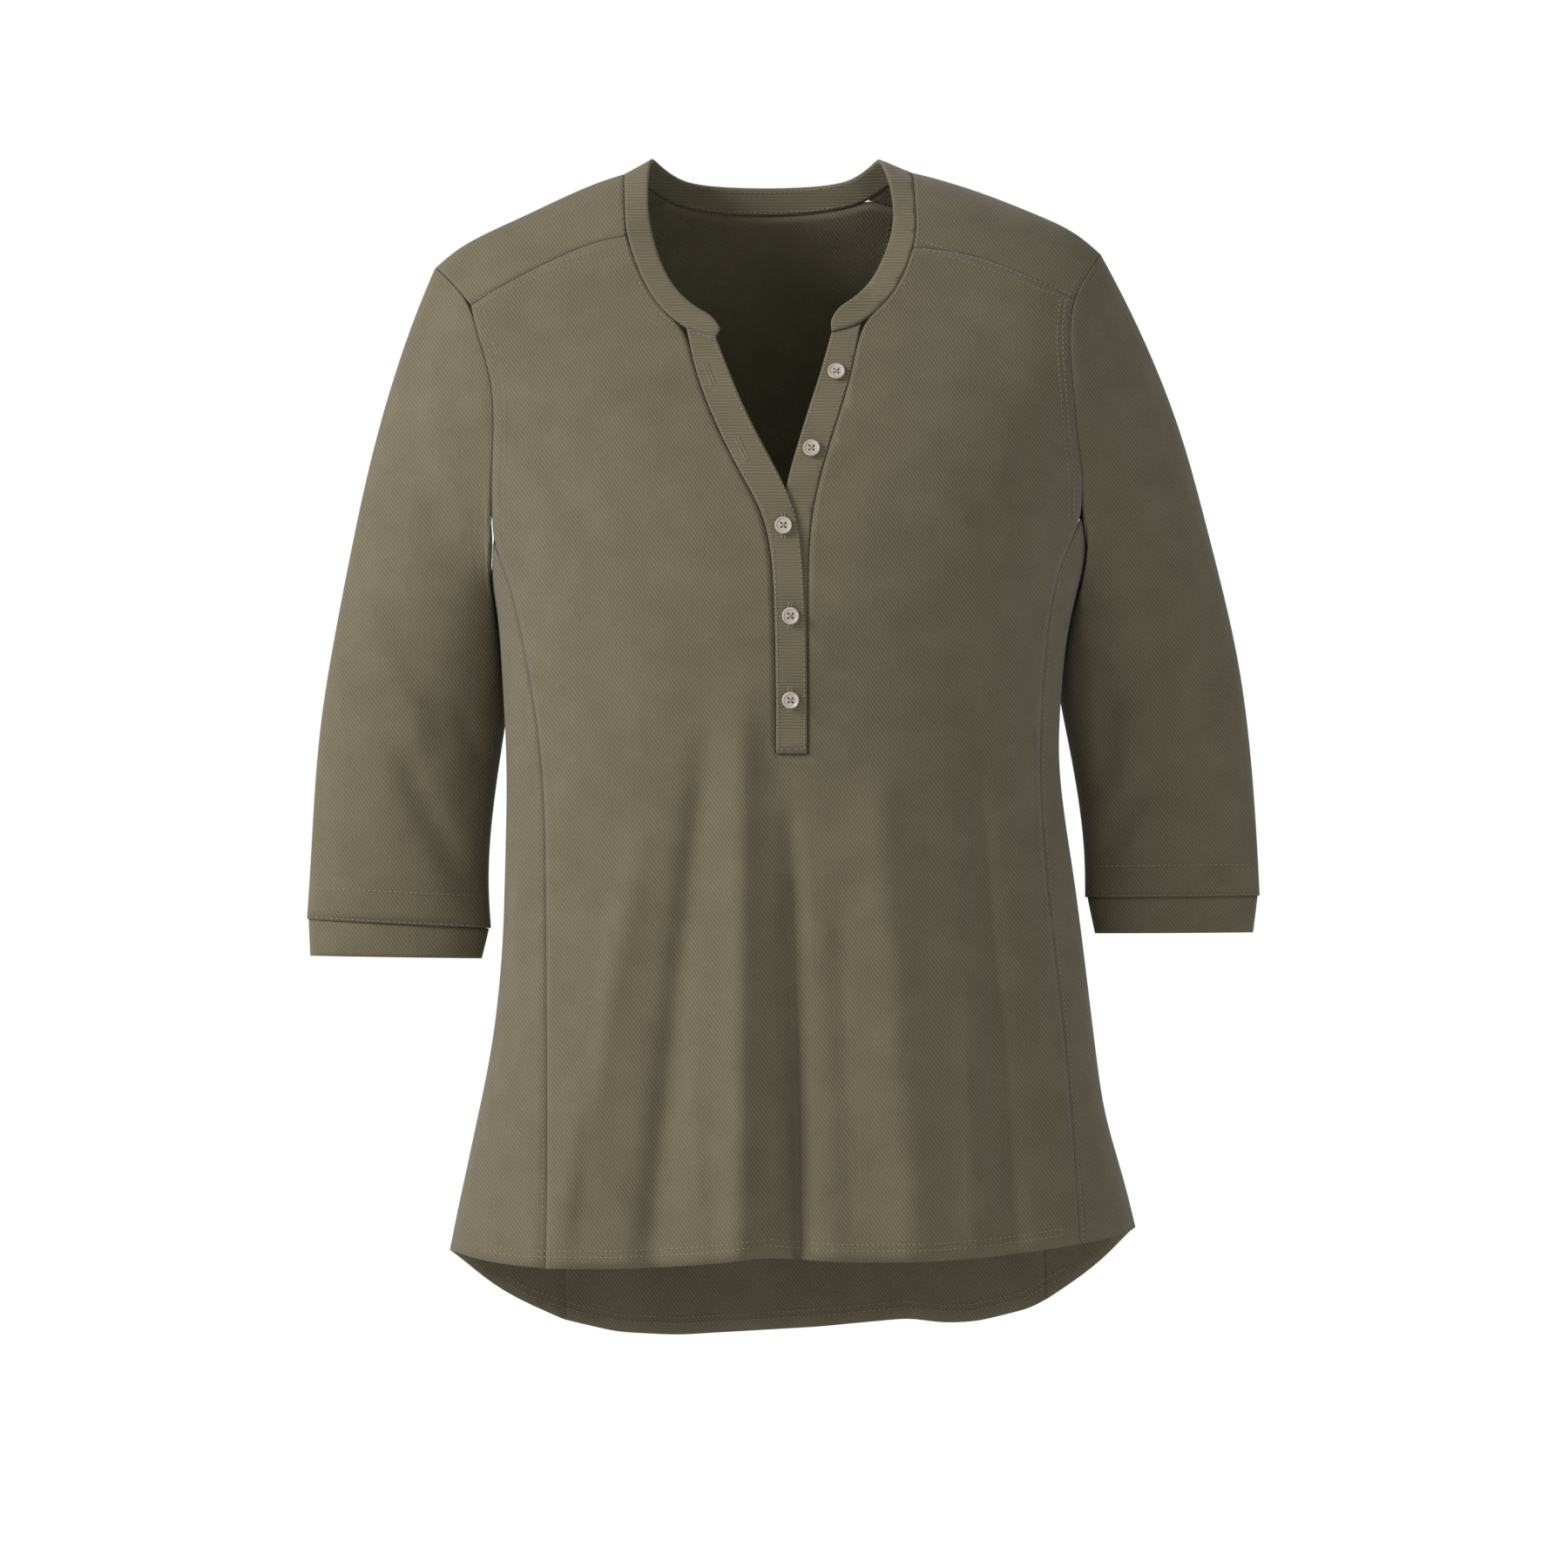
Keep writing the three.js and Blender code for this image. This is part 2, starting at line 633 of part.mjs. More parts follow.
// Yoke of one shoulder: each row runs from the neck to the armhole, the rows from front to back
function yokePlaces(hand) {
  const neck = NECK_PLACES[hand];
  const { tip, yokeFront, yokeBack } = ARMHOLES[hand];
  const frontRoot = fallRoot(yokeFront.x, yokeFront.z, -1);
  const backRoot = fallRoot(yokeBack.x, yokeBack.z, 1);
  return places(neck.yokeFront, neck.yokeBack, YOKE_ROWS).map((place, row) => {
    const atNeck = neckPlace(place);
    const root = mix(frontRoot, backRoot, row / YOKE_ROWS);
    const end = root < 0 ? yokeFront : yokeBack;
    const armX = mix(tip.x, end.x, (root / (root < 0 ? frontRoot : backRoot)) ** 2);
    return places(0, 1, HALF_COLUMNS).map((out) => {
      const x = mix(atNeck.x, armX, out);
      const bow = YOKE_BOW * 4 * out * (1 - out) * (1 - (2 * row) / YOKE_ROWS);
      const fall = mix(atNeck.root, root, out) + bow;
      return { x, root: fall, z: shoulderHeight(x) - fall * fall, side: fall < 0 ? -1 : 1 };
    });
  });
}

// Half of the front, from the outer edge to the placket and, below it, to the middle of the skirt
function frontPlaces(hand) {
  const neck = NECK_PLACES[hand];
  const yokeSeam = yokePlaces(hand)[0];
  const outer = [
    ...edge(ARMHOLES[hand].frontEdge, ARMHOLE_ROWS, -1),
    ...edge(PRINCESS[hand].front, PRINCESS_ROWS, -1).slice(1),
  ];
  const slitEnd = PLACKETS[hand].seam.at(-1);
  const inner = [
    ...places(neck.yokeFront, neck.placket, NECK_ROWS).map(neckPlace),
    ...edge(PLACKETS[hand].seam, PLACKET_ROWS, -1).slice(1),
    ...skirtLine(slitEnd.x).slice(1),
  ];
  const top = [...yokeSeam].reverse();
  const bottom = top.map((_, column) => {
    const x = mix(outer.at(-1).x, inner.at(-1).x, column / HALF_COLUMNS);
    return { x, z: valueAt(FRONT_HEM, "x", "z", x), side: -1 };
  });
  outer.splice(-1, 1, bottom[0]);
  outer.splice(0, 1, top[0]);
  inner.splice(0, 1, top.at(-1));
  return fillPanel(top, bottom, outer, inner);
}

// Line down the front from one corner of the placket slit to the hem
function skirtLine(x) {
  const start = PLACKETS.left.seam.at(-1).z;
  const drift = 4;
  const end = valueAt(FRONT_HEM, "x", "z", x + drift);
  return places(0, 1, SKIRT_ROWS).map((down) => ({
    x: x + drift * down,
    z: mix(start, end, down),
    side: -1,
  }));
}

function makeFront() {
  const grids = ["left", "right"].map((hand) => onBody(leftToRight(frontPlaces(hand), hand)));
  const [leftLine, rightLine] = ["left", "right"].map((hand) =>
    frontPlaces(hand).slice(NECK_ROWS + PLACKET_ROWS).map((row) => row.at(-1)),
  );
  const middle = leftLine.map((start, row) => {
    const end = rightLine[row];
    return [0, 0.5, 1].map((over) => ({
      x: mix(start.x, end.x, over),
      z: mix(start.z, end.z, over),
      side: -1,
    }));
  });
  return wall([...grids, onBody(middle)], CLOTH);
}

// The back, with rows from its upper edge to the hem and columns from the left to the right
function backPlaces() {
  const seams = { left: yokePlaces("left").at(-1), right: yokePlaces("right").at(-1) };
  const neck = places(NECK_PLACES.left.yokeBack, NECK_PLACES.right.yokeBack, BACK_NECK_COLUMNS);
  const top = [
    ...[...seams.left].reverse(),
    ...neck.slice(1, -1).map(neckPlace),
    ...seams.right,
  ];
  const [left, right] = ["left", "right"].map((hand) => [
    ...edge(ARMHOLES[hand].backEdge, BACK_ARMHOLE_ROWS, 1),
    ...edge(PRINCESS[hand].back, PRINCESS_ROWS, 1).slice(1),
  ]);
  const bottom = top.map((_, column) => {
    const x = mix(left.at(-1).x, right.at(-1).x, column / (top.length - 1));
    return { x, z: valueAt(BACK_HEM, "x", "z", x), side: 1 };
  });
  left.splice(-1, 1, bottom[0]);
  right.splice(-1, 1, bottom.at(-1));
  left.splice(0, 1, top[0]);
  right.splice(0, 1, top.at(-1));
  return fillPanel(top, bottom, left, right);
}

function makeBack() {
  return wall([onBody(leftToRight(backPlaces(), "right"))], CLOTH);
}

function makeYoke(hand) {
  const grid = yokePlaces(hand).map((row) => row.map((place) => shoulderPoint(place.x, place.root)));
  const downFront = [...grid].reverse();
  return wall([leftToRight(downFront, hand === "left" ? "right" : "left")], CLOTH);
}

// Turn round the side panel: it runs over the side of the body without a jump
function sideTurn(place, hand) {
  const turn = turnAt(place.x, place.z, place.side);
  return hand === "left" && turn < 0 ? turn + 2 * Math.PI : turn;
}

// Side panel: rows from the armhole to the hem, columns from the front seam to the back seam
function sidePlaces(hand) {
  const frontSeam = frontPlaces(hand).slice(ARMHOLE_ROWS).map((row) => row[0]);
  const backRows = backPlaces().slice(BACK_ARMHOLE_ROWS);
  const backSeam = backRows.map((row) => (hand === "left" ? row[0] : row.at(-1)));
  const hemEnds = [frontSeam.at(-1), backSeam.at(-1)];
  return frontSeam.map((front, row) => {
    const back = backSeam[row];
    const down = row / PRINCESS_ROWS;
    return places(0, 1, SIDE_COLUMNS).map((round) => {
      const turn = mix(sideTurn(front, hand), sideTurn(back, hand), round);
      const hemTurn = mix(sideTurn(hemEnds[0], hand), sideTurn(hemEnds[1], hand), round);
      const hemX = bodyPoint(hemTurn, mix(hemEnds[0].z, hemEnds[1].z, round)).x;
      const behind = Math.sin(hemTurn) > 0;
      const hem = valueAt(behind ? BACK_HEM : FRONT_HEM, "x", "z", hemX);
      const hemBow = hem - mix(hemEnds[0].z, hemEnds[1].z, round);
      const topBow = -UNDERARM_DROP * 4 * round * (1 - round);
      return { turn, z: mix(front.z, back.z, round) + mix(topBow, hemBow, down) };
    });
  });
}

function makeSide(hand) {
  const grid = sidePlaces(hand).map((row) => row.map(({ turn, z }) => bodyPoint(turn, z)));
  return wall([leftToRight(grid, hand === "left" ? "right" : "left")], CLOTH);
}

// Stations of the armhole with their outward directions: from the shoulder tip down the front,
// under the arm and up the back to the tip again
function armholeLoop(hand) {
  const yoke = yokePlaces(hand).map((row) => row.at(-1));
  const front = frontPlaces(hand).slice(0, ARMHOLE_ROWS + 1).map((row) => row[0]);
  const back = backPlaces().slice(0, BACK_ARMHOLE_ROWS + 1);
  const backEdge = back.map((row) => (hand === "left" ? row[0] : row.at(-1)));
  const onShoulder = ({ x, root }) => ({ point: shoulderPoint(x, root), out: bodyNormal(x, root) });
  const onPanel = (place) => {
    const turn = turnAt(place.x, place.z, place.side);
    return { point: bodyPoint(turn, place.z), out: sideNormal(turn, place.z) };
  };
  const onSide = ({ turn, z }) => ({ point: bodyPoint(turn, z), out: sideNormal(turn, z) });
  const middle = YOKE_ROWS / 2;
  return [
    ...yoke.slice(0, middle + 1).reverse().map(onShoulder),
    ...front.slice(1, -1).map(onPanel),
    ...sidePlaces(hand)[0].map(onSide),
    ...backEdge.slice(1, -1).reverse().map(onPanel),
    ...yoke.slice(middle).reverse().map(onShoulder),
  ];
}

// Share of the way round at each station, with half of it in front and half behind
function loopShares(loop) {
  const lengths = [0];
  for (let index = 1; index < loop.length; index++) {
    lengths.push(lengths[index - 1] + loop[index].point.distanceTo(loop[index - 1].point));
  }
  const lowest = loop.reduce((best, station, index) =>
    station.point.z < loop[best].point.z ? index : best, 0);
  return lengths.map((length, index) =>
    index <= lowest
      ? length / lengths[lowest] / 2
      : 0.5 + (length - lengths[lowest]) / (lengths.at(-1) - lengths[lowest]) / 2,
  );
}

// Point of a sleeve or cuff section at a share of the way round, from the outer edge over the front
function sleevePoint(rows, place, share) {
  const at = (column) => columnAt(rows, column, place);
  const angle = share * 2 * Math.PI;
  const inward = (1 - Math.cos(angle)) / 2;
  const x = mix(at("outerX"), at("innerX"), inward);
  const z = mix(at("outerZ"), at("innerZ"), inward);
  return new THREE.Vector3(x, at("middle") - (at("depth") / 2) * Math.sin(angle), z);
}

// How much of the full clearance holds at a height: none above the armhole's lower third
function underarmShare(z) {
  return THREE.MathUtils.smoothstep(-z, 165, 205);
}

// Moves a sleeve point out of the body, so that the sleeve lies just clear of it
function clearOfBody(point) {
  const section = bodySection(point.z);
  const clearance = SLEEVE_OFF_BODY;
  const across = (point.x - section.centre) / (section.half + clearance);
  const depth = (point.y < 0 ? section.front : section.back) + clearance;
  const size = Math.abs(across) ** SECTION_ROUND + Math.abs(point.y / depth) ** SECTION_ROUND;
  if (size >= 1 || underarmShare(point.z) === 0) return point;
  const grow = mix(1, size ** (-1 / SECTION_ROUND), underarmShare(point.z));
  point.x = section.centre + (point.x - section.centre) * grow;
  point.y *= grow;
  return point;
}

function sleeveRings(hand) {
  const loop = armholeLoop(hand);
  const shares = loopShares(loop);
  const rows = SLEEVES[hand];
  const start = loop.map(({ point, out }) =>
    point.clone().addScaledVector(out, SLEEVE_OFF_SEAM * underarmShare(point.z)),
  );
  const rings = places(0, rows.length - 1, SLEEVE_RINGS - 1).map((place, index) => {
    const settle = THREE.MathUtils.smoothstep(index + 1, 0, 4);
    return shares.map((share, station) => {
      const free = sleevePoint(rows, place, share);
      const shift = sleevePoint(rows, place, share).sub(sleevePoint(rows, 0, share));
      const drawn = start[station].clone().add(shift);
      return clearOfBody(drawn.lerp(free, settle));
    });
  });
  return { start, rings, directions: loop.map(({ out }) => out) };
}

function makeSleeve(hand) {
  const { start, rings, directions } = sleeveRings(hand);
  const grid = leftToRight([start, ...rings], hand);
  const normals = new Map(start.map((point, index) => [point, directions[index]]));
  return wall([grid], CLOTH, { normals });
}

function makeCuff(hand) {
  const shares = loopShares(armholeLoop(hand));
  const grid = places(0, 1, 2).map((place) =>
    shares.map((share) => sleevePoint(CUFFS[hand], place, share)),
  );
  return wall([leftToRight(grid, hand)], CLOTH);
}

// Stations of the band, by row number of the neck table; each panel keeps its own stations
function bandPlaces() {
  const { left, right } = NECK_PLACES;
  return [
    ...places(left.tip, left.placket, TIP_COLUMNS),
    ...places(left.placket, left.yokeFront, NECK_ROWS).slice(1),
    ...places(left.yokeFront, left.yokeBack, YOKE_ROWS).slice(1),
    ...places(left.yokeBack, right.yokeBack, BACK_NECK_COLUMNS).slice(1),
    ...places(right.yokeBack, right.yokeFront, YOKE_ROWS).slice(1),
    ...places(right.yokeFront, right.placket, NECK_ROWS).slice(1),
    ...places(right.placket, right.tip, TIP_COLUMNS).slice(1),
  ];
}

function makeBand() {
  const normals = new Map();
  const columns = bandPlaces().map((place) => {
    const seam = neckPlace(place);
    const low = shoulderPoint(seam.x, seam.root);
    normals.set(low, bodyNormal(seam.x, seam.root));
    const high = new THREE.Vector3(
      columnAt(NECK, "topX", place),
      low.y + columnAt(NECK, "lean", place),
      columnAt(NECK, "topZ", place),
    );
    return [low, low.clone().lerp(high, 0.5), high];
  });
  const grid = [0, 1, 2].map((row) => columns.map((column) => column[row]));
  return wall([grid], BAND, { normals });
}

// Placket strip from its seam to its free edge, laid on the surface of the front and moved out or in
function makeStrip(hand, rise) {
  const neck = NECK_PLACES[hand];
  const seam = edge(PLACKETS[hand].seam, PLACKET_ROWS, -1);
  const free = edge(PLACKETS[hand].free, PLACKET_ROWS, -1);
  const top = places(neck.placket, neck.tip, TIP_COLUMNS).map(neckPlace);
  const bottom = places(seam.at(-1).x, free.at(-1).x, TIP_COLUMNS).map((x) => ({
    x,
    z: seam.at(-1).z,
    side: -1,
  }));
  seam.splice(0, 1, top[0]);
  free.splice(0, 1, top.at(-1));
  return wall([onBody(leftToRight(fillPanel(top, bottom, seam, free), hand))], STRIP, { rise });
}

const wasm = await Module();
wasm.setup();

function solidFrom(geometry) {
  geometry.deleteAttribute("normal");
  geometry.deleteAttribute("uv");
  const merged = mergeVertices(geometry);
  return new wasm.Manifold(
    new wasm.Mesh({
      numProp: 3,
      vertProperties: merged.attributes.position.array,
      triVerts: new Uint32Array(merged.index.array),
    }),
  );
}

// Four-hole button with a raised rim; it stands on z = 0 and faces up
function makeButton() {
  const profile = [
    [0, 0],
    [BUTTON_RADIUS * 0.8, 0],
    [BUTTON_RADIUS, BUTTON_THICKNESS * 0.35],
    [BUTTON_RADIUS, BUTTON_THICKNESS * 0.75],
    [BUTTON_RADIUS - BUTTON_RIM * 0.4, BUTTON_THICKNESS],
    [BUTTON_RADIUS - BUTTON_RIM, BUTTON_THICKNESS],
    [BUTTON_RADIUS - BUTTON_RIM * 1.6, BUTTON_THICKNESS - BUTTON_DISH],
    [0, BUTTON_THICKNESS - BUTTON_DISH],
  ].map(([radius, height]) => new THREE.Vector2(radius, height));
  let body = solidFrom(new THREE.LatheGeometry(profile, 20).rotateX(Math.PI / 2));
  if (body.volume() < 0) throw new Error("the button's profile runs the wrong way");
  for (const across of [-1, 1]) {
    for (const along of [-1, 1]) {
      const hole = new THREE.CylinderGeometry(BUTTON_HOLE_RADIUS, BUTTON_HOLE_RADIUS, 3 * BUTTON_THICKNESS, 8);
      hole.rotateX(Math.PI / 2);
      hole.translate(across * BUTTON_HOLE_SPREAD, along * BUTTON_HOLE_SPREAD, 0);
      body = body.subtract(solidFrom(hole));
    }
  }
  const mesh = body.getMesh();
  const geometry = new THREE.BufferGeometry();
  geometry.setAttribute("position", new THREE.BufferAttribute(mesh.vertProperties, 3));
  geometry.setIndex(new THREE.BufferAttribute(mesh.triVerts, 1));
  return geometry;
}

const shirt = new THREE.Group();

function addPiece(name, geometry, material = clothMaterial) {
  const mesh = new THREE.Mesh(geometry, material);
  mesh.name = name;
  shirt.add(mesh);
  return mesh;
}

addPiece("front", makeFront());
addPiece("back", makeBack());
for (const hand of ["left", "right"]) {
  addPiece("yoke_" + hand, makeYoke(hand));
  addPiece("side_" + hand, makeSide(hand));
  addPiece("sleeve_" + hand, makeSleeve(hand));
  addPiece("cuff_" + hand, makeCuff(hand));
}
addPiece("collar_band", makeBand());
addPiece("placket_top", makeStrip("left", STRIP_OVERLAP_RISE));
addPiece("placket_under", makeStrip("right", -STRIP_OVERLAP_RISE));

const buttonGeometry = makeButton();
for (const { name, x, z, strip } of BUTTONS) {
  const button = addPiece(name, buttonGeometry.clone(), buttonMaterial);
  const out = bodyNormal(x, fallRoot(x, z, -1));
  const level = strip === "top" ? STRIP_OVERLAP_RISE : -STRIP_OVERLAP_RISE;
  button.position.copy(bodyAt({ x, z, side: -1 }));
  button.position.addScaledVector(out, level + STRIP / 2 + BUTTON_SEAT);
  button.quaternion.setFromUnitVectors(new THREE.Vector3(0, 0, 1), out);
}

export default shirt;
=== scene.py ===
# %% [markdown]
# # A henley tunic in olive knit
# This lesson dresses the cut pieces of a shirt: a front, a back, two yokes, two side panels, two sleeves
# with cuffs, a band round the neck and two placket strips. The frame holds each piece as a closed wall at
# its real size. We give each wall a smooth, creased surface, a knit cloth, and the sewing.

# %% Load the frame
import math
import bmesh
import bpy
import numpy as np
from mathutils import Matrix, Vector
from mathutils.bvhtree import BVHTree


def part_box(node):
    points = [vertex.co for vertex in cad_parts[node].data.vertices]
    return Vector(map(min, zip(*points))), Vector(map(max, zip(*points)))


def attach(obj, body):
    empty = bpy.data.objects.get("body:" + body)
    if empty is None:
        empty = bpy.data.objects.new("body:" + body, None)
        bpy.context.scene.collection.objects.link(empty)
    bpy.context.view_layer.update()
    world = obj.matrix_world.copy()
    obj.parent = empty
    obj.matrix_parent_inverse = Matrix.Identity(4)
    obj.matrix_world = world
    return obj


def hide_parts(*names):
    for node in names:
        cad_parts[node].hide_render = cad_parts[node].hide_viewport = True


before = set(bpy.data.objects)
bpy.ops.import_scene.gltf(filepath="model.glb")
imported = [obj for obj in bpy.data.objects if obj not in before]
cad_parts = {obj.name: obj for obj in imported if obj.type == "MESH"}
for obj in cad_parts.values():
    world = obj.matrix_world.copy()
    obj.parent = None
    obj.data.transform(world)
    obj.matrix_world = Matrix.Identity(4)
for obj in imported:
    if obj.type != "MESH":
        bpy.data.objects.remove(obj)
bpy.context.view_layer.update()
scene = bpy.context.scene
MM = 0.001
print("the frame holds", len(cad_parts), "pieces")

# %% [markdown]
# ## The camera
# The shirt is seen square from the front, from far away, so that its outline hardly narrows with depth.
# The picture is 936 mm wide at the shirt, and its middle lies a little right of the neck and below the waist.

# %% Camera
VIEW_WIDTH = 936 * MM
VIEW_MIDDLE = Vector((9.4 * MM, 0, -356 * MM))
VIEW_DISTANCE = 9.0
SENSOR_WIDTH = 36.0
camera_data = bpy.data.cameras.new("camera")
camera_data.sensor_width = SENSOR_WIDTH
camera_data.lens = SENSOR_WIDTH * VIEW_DISTANCE / VIEW_WIDTH
camera = bpy.data.objects.new("camera", camera_data)
camera.location = VIEW_MIDDLE + Vector((0, -VIEW_DISTANCE, 0))
camera.rotation_euler = (math.radians(90), 0, 0)
scene.collection.objects.link(camera)
scene.camera = camera
print("lens", round(camera_data.lens), "mm")

# %% [markdown]
# ## The knit
# The cloth is a fine jersey whose loops show as close diagonal lines. One wave pattern at a small scale makes
# the lines: it raises their relief, and it also darkens the colour in their grooves, which is painted shade.
# A soft noise changes the colour a little, as yarn does. Sheen gives the pale fuzz at the edges of a rounded
# form.
# The pattern reads the place on the piece, so it keeps its scale on every piece.
# A wave texture repeats every 0.314 / scale metres, so this scale sets the lines 1.8 mm apart. The lines are
# flat slices through space: they run true on the front, and bend into arcs where the cloth turns sideways.

# %% Knit cloth material
LINE_SCALE = 173.91304
# Share of the lines in the tone: this part is painted shade, which darkens the grooves of the knit lines.
LINE_SHADE_SHARE = 0.45
CLOUD_SCALE = 45


def knit(name, light, dark, slant, depth):
    """A knit with lines at a slant in degrees, between two tones, and a relief of the given strength. The
    darker tone in the grooves of the lines is painted shade.
    """
    material = bpy.data.materials.new(name)
    material.use_nodes = True
    nodes, links = material.node_tree.nodes, material.node_tree.links
    shader = nodes["Principled BSDF"]
    shader.inputs["Roughness"].default_value = 0.92
    shader.inputs["Specular IOR Level"].default_value = 0.18
    shader.inputs["Sheen Weight"].default_value = 0.12
    shader.inputs["Sheen Roughness"].default_value = 0.5
    place = nodes.new("ShaderNodeTexCoord")
    turned = nodes.new("ShaderNodeMapping")
    turned.inputs["Rotation"].default_value = (0, math.radians(slant), 0)
    links.new(place.outputs["Object"], turned.inputs["Vector"])
    lines = nodes.new("ShaderNodeTexWave")
    lines.bands_direction = "X"
    lines.inputs["Scale"].default_value = LINE_SCALE
    lines.inputs["Distortion"].default_value = 1.2
    lines.inputs["Detail"].default_value = 1.0
    lines.inputs["Detail Scale"].default_value = 3.0
    links.new(turned.outputs["Vector"], lines.inputs["Vector"])
    clouds = nodes.new("ShaderNodeTexNoise")
    clouds.inputs["Scale"].default_value = CLOUD_SCALE
    clouds.inputs["Detail"].default_value = 6
    links.new(place.outputs["Object"], clouds.inputs["Vector"])
    cloud_part = nodes.new("ShaderNodeMath")
    cloud_part.operation = "MULTIPLY"
    cloud_part.inputs[1].default_value = 1 - LINE_SHADE_SHARE
    links.new(clouds.outputs["Fac"], cloud_part.inputs[0])
    # Tone mix: the lines give painted shade in their grooves, and the noise gives the yarn's own uneven tone.
    both = nodes.new("ShaderNodeMath")
    both.operation = "MULTIPLY_ADD"
    both.inputs[1].default_value = LINE_SHADE_SHARE
    links.new(lines.outputs["Fac"], both.inputs[0])
    links.new(cloud_part.outputs["Value"], both.inputs[2])
    colours = nodes.new("ShaderNodeValToRGB")
    colours.color_ramp.elements[0].position = 0.2
    colours.color_ramp.elements[0].color = (*dark, 1)
    colours.color_ramp.elements[1].position = 0.8
    colours.color_ramp.elements[1].color = (*light, 1)
    links.new(both.outputs["Value"], colours.inputs["Fac"])
    links.new(colours.outputs["Color"], shader.inputs["Base Color"])
    relief = nodes.new("ShaderNodeBump")
    relief.inputs["Strength"].default_value = depth
    relief.inputs["Distance"].default_value = 0.25 * MM
    links.new(lines.outputs["Fac"], relief.inputs["Height"])
    links.new(relief.outputs["Normal"], shader.inputs["Normal"])
    return material


body_knit = knit("olive knit", (0.140, 0.122, 0.076), (0.088, 0.075, 0.044), 35, 0.5)
strip_knit = knit("olive knit on the straight grain", (0.146, 0.128, 0.080), (0.094, 0.082, 0.049), 90, 0.4)
print("made", body_knit.name, "and", strip_knit.name)

# %% [markdown]
# ## Creases
# The frame already has long soft folds that hang from the bust. The first six rows add long folds in the
# front of the skirt. The others are small creases: short troughs where a sleeve bends at the elbow, pulls at
# the armholes, and soft ripples near the hem. Each row gives, in millimetres seen from the front or from
# behind, where a crease starts and ends, how wide it is and how far it stands out. Side -1 is the front.

# %% Crease table
CREASES = [
    dict(side=-1, start=(-15, -320), end=(-17, -660), reach=9, out=5.0),
    dict(side=-1, start=(13, -390), end=(19, -670), reach=6, out=-5.5),
    dict(side=-1, start=(-37, -340), end=(-70, -650), reach=9, out=-5.0),
    dict(side=-1, start=(-79, -400), end=(-130, -650), reach=11, out=3.8),
    dict(side=-1, start=(116, -300), end=(146, -650), reach=7, out=-4.5),
    dict(side=-1, start=(66, -360), end=(88, -660), reach=14, out=3.4),
    dict(side=-1, start=(-150, -150), end=(-105, -205), reach=7, out=-1.8),
    dict(side=-1, start=(-145, -185), end=(-95, -250), reach=8, out=1.4),
    dict(side=-1, start=(168, -150), end=(125, -215), reach=7, out=-1.7),
    dict(side=-1, start=(150, -225), end=(108, -275), reach=9, out=1.3),
    dict(side=-1, start=(-120, -300), end=(-70, -345), reach=8, out=-1.2),
    dict(side=-1, start=(132, -330), end=(80, -372), reach=9, out=-1.1),
    dict(side=-1, start=(-100, -430), end=(-112, -625), reach=6, out=-1.8),
    dict(side=-1, start=(-46, -470), end=(-40, -636), reach=6, out=1.5),
    dict(side=-1, start=(42, -430), end=(50, -636), reach=7, out=-1.6),
    dict(side=-1, start=(118, -470), end=(122, -632), reach=6, out=1.5),
    dict(side=-1, start=(-218, -345), end=(-172, -428), reach=8, out=-3.2),
    dict(side=-1, start=(-184, -312), end=(-166, -352), reach=6, out=-2.2),
    dict(side=-1, start=(-240, -250), end=(-205, -330), reach=10, out=2.0),
    dict(side=-1, start=(-214, -120), end=(-196, -205), reach=9, out=-1.6),
    dict(side=-1, start=(193, -402), end=(234, -346), reach=8, out=-3.2),
    dict(side=-1, start=(204, -300), end=(200, -360), reach=8, out=-2.4),
    dict(side=-1, start=(262, -240), end=(222, -322), reach=10, out=1.8),
    dict(side=-1, start=(226, -120), end=(206, -205), reach=9, out=-1.6),
    dict(side=1, start=(-60, -90), end=(-110, -160), reach=9, out=-1.6),
    dict(side=1, start=(62, -92), end=(116, -150), reach=9, out=-1.7),
    dict(side=1, start=(-90, -300), end=(-30, -340), reach=9, out=-1.5),
    dict(side=1, start=(100, -310), end=(40, -352), reach=9, out=-1.5),
    dict(side=1, start=(-100, -450), end=(-110, -670), reach=8, out=1.8),
    dict(side=1, start=(60, -450), end=(58, -676), reach=7, out=-1.8),
    dict(side=1, start=(-228, -350), end=(-184, -420), reach=8, out=-2.8),
    dict(side=1, start=(232, -350), end=(206, -405), reach=8, out=-2.8),
]


def crease_height(x, z, side):
    """Height in millimetres of all creases at places on one side, for whole arrays."""
    height = np.zeros_like(x)
    for crease in CREASES:
        if crease["side"] != side:
            continue
        start, end = np.array(crease["start"]), np.array(crease["end"])
        run = end - start
        length = np.hypot(*run)
        along = ((x - start[0]) * run[0] + (z - start[1]) * run[1]) / length**2
        across = ((x - start[0]) * run[1] - (z - start[1]) * run[0]) / length
        ends = np.clip(np.minimum(along, 1 - along) * 4 + 0.5, 0, 1)
        ends = ends * ends * (3 - 2 * ends)
        height += crease["out"] * ends * np.exp(-((across / crease["reach"]) ** 2))
    return height


print(len(CREASES), "creases")

# %% [markdown]
# ## Smooth walls of cloth
# A wall in the frame is made of flat facets. We merge its corners, pair its triangles into squares and
# round it with two levels of subdivision. Its rim is marked with full creases, so the cut edges stay sharp
# and the seams keep their places. Then the creases move both faces of the wall together.

# %% Helpers for a wall of cloth
RIM_ANGLE = math.radians(50)
MERGE_DISTANCE = 0.002 * MM
FLAT_PAIR = math.radians(30)
SQUARE_PAIR = math.radians(60)
ROUNDING_LEVELS = 2


